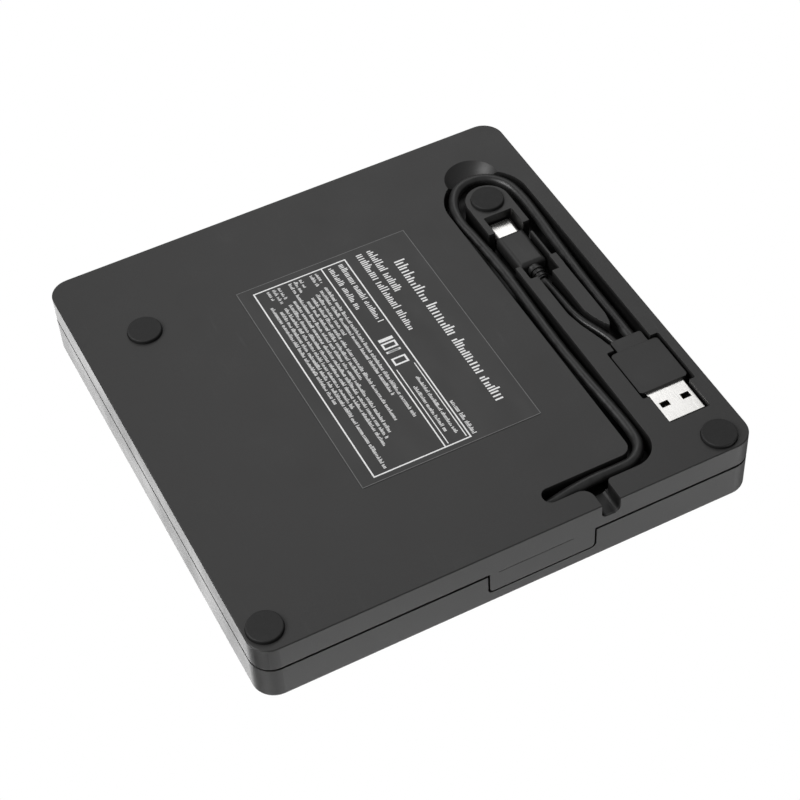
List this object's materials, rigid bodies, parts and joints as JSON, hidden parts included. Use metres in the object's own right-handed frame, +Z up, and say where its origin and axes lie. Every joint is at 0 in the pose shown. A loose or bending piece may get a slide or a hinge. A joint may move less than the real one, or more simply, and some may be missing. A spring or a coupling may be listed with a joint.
{
  "type": "external optical drive",
  "caption": "Slim square USB disc drive with a sliding tray, and a bay underneath that stows its cable and two plugs.",
  "frame": {"origin": "under the middle of the case, on the surface that the rubber feet stand on", "axes": "+Z up through the lid; -Y is the front, where the tray opens; +Y is the back, where the cable leaves; +X is the side with the cable bay"},
  "size_m": [0.15, 0.15, 0.0217],
  "materials": {
    "case_plastic": "fine satin texture",
    "bezel_plastic": "semi gloss",
    "foot_rubber": "matt, slightly rough",
    "label_film": "satin film with pale print",
    "screw_steel": "black zinc",
    "cable_jacket": "soft satin jacket",
    "plug_plastic": "moulded, satin",
    "plug_metal": "bright nickel plate",
    "tongue_plastic": "plain",
    "contact_gold": "gold plated",
    "sheet_steel": "galvanised sheet",
    "rail_steel": "bright rolled steel",
    "guide_plastic": "natural acetal",
    "board_green": "solder resist",
    "connector_plastic": "glass-filled",
    "chip_plastic": "moulded epoxy",
    "switch_metal": "plated",
    "ribbon_film": "flat flexible cable",
    "tray_plastic": "fine texture",
    "lamp_clear": "clear",
    "stator_steel": "laminations and windings",
    "rotor_metal": "turned",
    "rod_steel": "ground",
    "sled_metal": "die-cast zinc",
    "holder_plastic": "liquid-crystal polymer",
    "lens_glass": "coated lens",
    "magnet_metal": "nickel-plated magnet",
    "motor_can": "plated can"
  },
  "bodies": {
    "case": {"base_shell": "case_plastic", "lid": "case_plastic", "foot_front_left": "foot_rubber", "foot_front_right": "foot_rubber", "foot_rear_left": "foot_rubber", "foot_rear_right": "foot_rubber", "rating_label": "label_film", "case_screws": "screw_steel", "drive_screws": "screw_steel", "board_screws": "screw_steel", "cable": "cable_jacket", "pigtail_cable": "cable_jacket", "cable_gland": "cable_jacket", "usb_c_strain_relief": "cable_jacket", "usb_a_overmold": "plug_plastic", "usb_c_overmold": "plug_plastic", "usb_a_shell": "plug_metal", "usb_c_shell": "plug_metal", "usb_a_tongue": "tongue_plastic", "usb_c_liner": "tongue_plastic", "usb_a_contacts": "contact_gold", "chassis_pan": "sheet_steel", "chassis_cover": "sheet_steel", "rail_guide_left": "guide_plastic", "rail_guide_right": "guide_plastic", "rear_board": "board_green", "bridge_board": "board_green", "sata_plug": "connector_plastic", "sata_socket": "connector_plastic", "cable_connector": "connector_plastic", "bridge_chips": "chip_plastic", "ribbon_cable": "ribbon_film", "latch_post": "rail_steel"},
    "tray": {"tray": "tray_plastic", "tray_plate": "sheet_steel", "tray_screws": "screw_steel", "tray_bezel": "bezel_plastic", "front_board": "board_green", "eject_switch": "switch_metal", "light_pipe": "lamp_clear", "solenoid": "switch_metal", "latch_pin": "rail_steel", "motor_stator": "stator_steel", "guide_rods": "rod_steel", "feed_motor": "motor_can"},
    "rail_left": {"slide_rail_left": "rail_steel"},
    "rail_right": {"slide_rail_right": "rail_steel"},
    "button": {"eject_button": "bezel_plastic"},
    "latch": {"latch_lever": "guide_plastic"},
    "spindle": {"spindle_rotor": "rotor_metal", "friction_ring": "foot_rubber", "disc_claws": "guide_plastic"},
    "pickup": {"sled": "sled_metal", "lens_magnets": "magnet_metal"},
    "lens": {"lens_holder": "holder_plastic", "objective_lens": "lens_glass"},
    "feed_screw": {"lead_screw": "rod_steel"}
  },
  "joints": [
    {"name": "tray_slide", "type": "slide", "parent": "case", "child": "tray", "axis": [0, -1, 0], "range_m": [0, 0.118]},
    {"name": "rail_left_slide", "type": "slide", "parent": "case", "child": "rail_left", "axis": [0, -1, 0], "range_m": [0, 0.06]},
    {"name": "rail_right_slide", "type": "slide", "parent": "case", "child": "rail_right", "axis": [0, -1, 0], "range_m": [0, 0.06]},
    {"name": "eject_press", "type": "slide", "parent": "tray", "child": "button", "axis": [0, 1, 0], "range_m": [0, 0.0008], "stiffness_N_per_m": 900, "springref_m": -0.0004},
    {"name": "latch_turn", "type": "hinge", "parent": "tray", "child": "latch", "pos_m": [-0.045, 0.0406, 0.0128], "axis": [0, 0, 1], "range_deg": [0, 9], "stiffness_Nm_per_rad": 0.02, "springref_deg": -2.86},
    {"name": "spindle_spin", "type": "hinge", "parent": "tray", "child": "spindle", "pos_m": [0, -0.009, 0.014], "axis": [0, 0, 1], "continuous": true},
    {"name": "pickup_feed", "type": "slide", "parent": "tray", "child": "pickup", "axis": [0.6428, -0.766, 0], "range_m": [0, 0.029]},
    {"name": "feed_screw_spin", "type": "hinge", "parent": "tray", "child": "feed_screw", "pos_m": [0.03323, -0.02028, 0.0122], "axis": [0.6428, -0.766, 0], "range_deg": [-1, 3485]},
    {"name": "lens_focus", "type": "slide", "parent": "pickup", "child": "lens", "axis": [0, 0, 1], "range_m": [-0.0003, 0.0003], "stiffness_N_per_m": 40}
  ],
  "couplings": [
    {"joint": "rail_left_slide", "follows": "tray_slide", "ratio": 0.5},
    {"joint": "rail_right_slide", "follows": "tray_slide", "ratio": 0.5},
    {"joint": "feed_screw_spin", "follows": "pickup_feed", "rad_per_m": 2094.4}
  ]
}
